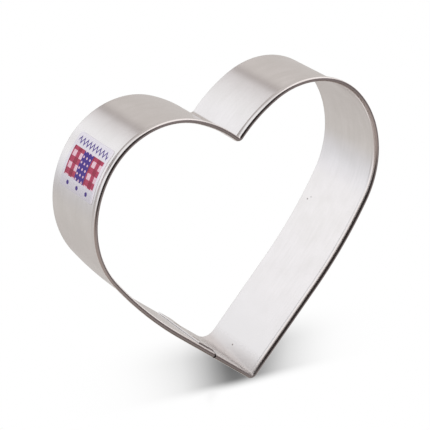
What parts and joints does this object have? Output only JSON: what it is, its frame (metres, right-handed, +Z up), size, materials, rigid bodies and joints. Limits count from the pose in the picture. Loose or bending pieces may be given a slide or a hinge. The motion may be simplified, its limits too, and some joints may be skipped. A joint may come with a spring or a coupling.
{
  "type": "cookie cutter",
  "caption": "Heart-shaped cookie cutter bent from a tinned steel strip with a rolled upper hem, a welded lap seam and a small printed label; its plain lower edge cuts rolled dough.",
  "frame": {"origin": "centre of the bounding box in plan, on the plane of the cutting edge", "axes": "+Z up from the cutting edge to the hemmed edge, -Y towards the tip of the heart, +X towards the lobe without the label"},
  "size_m": [0.0826, 0.0766, 0.0222],
  "materials": {
    "tinplate": "bright tin-plated steel sheet, rolled, with a soft satin reflection",
    "weld_metal": "fused and faintly heat-tinted steel, dull",
    "label_film": "white self-adhesive film printed in violet-blue and red"
  },
  "bodies": {
    "root": {"cutter_band": "tinplate", "spot_welds": "weld_metal", "label": "label_film"}
  },
  "joints": []
}
